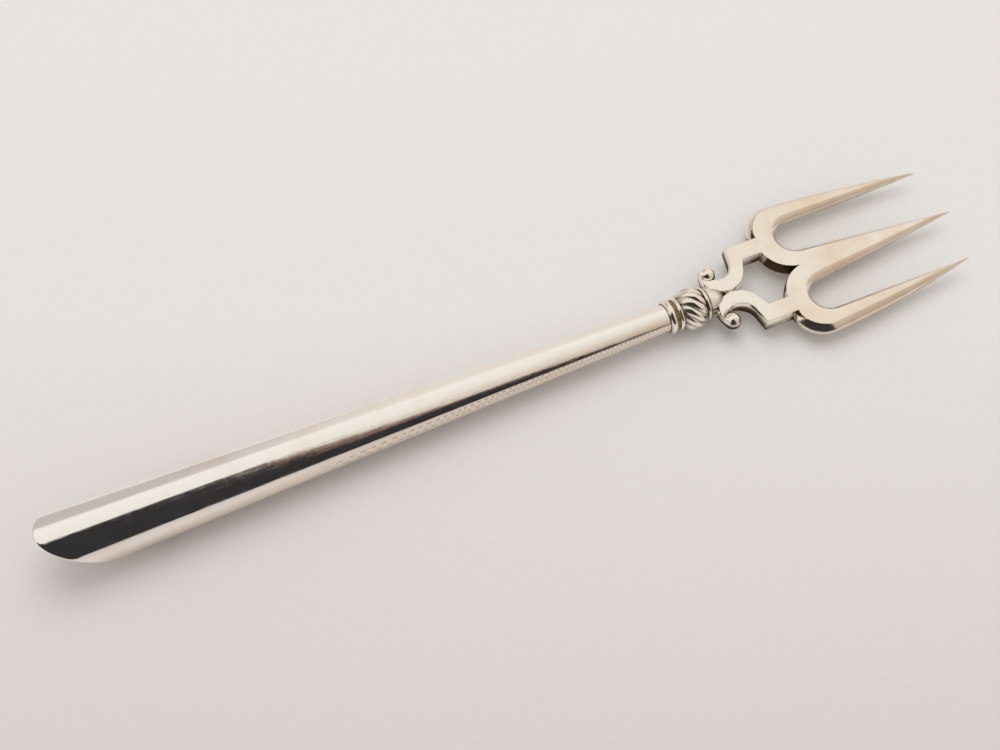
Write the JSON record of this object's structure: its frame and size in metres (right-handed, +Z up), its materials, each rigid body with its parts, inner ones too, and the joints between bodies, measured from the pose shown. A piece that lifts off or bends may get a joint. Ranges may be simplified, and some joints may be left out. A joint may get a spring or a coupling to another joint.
{
  "type": "bread fork",
  "caption": "Silver bread fork: pierced trident head with scroll arms, twisted knop, ringed collar and a tapering hollow handle cut off at a slant.",
  "frame": {"origin": "on the table under the middle of the fork's box, as the fork lies at rest", "axes": "+X along the fork towards the tines, +Y across it, +Z up through the flat face of the head"},
  "size_m": [0.248, 0.0404, 0.017],
  "materials": {
    "head_silver": "polished silver, softly worn",
    "knop_silver": "polished silver with dark valleys",
    "handle_silver": "bright polished silver with fine scratches",
    "collar_silver": "polished silver",
    "solder": "rough golden-brown solder",
    "resin": "dull dark resin"
  },
  "bodies": {
    "root": {"fork_head": "head_silver", "twisted_knop": "knop_silver", "collar_front_reed": "collar_silver", "collar_rear_reed": "collar_silver", "solder_band": "solder", "handle_upper_half": "handle_silver", "handle_lower_half": "handle_silver", "handle_filling": "resin"}
  },
  "joints": []
}
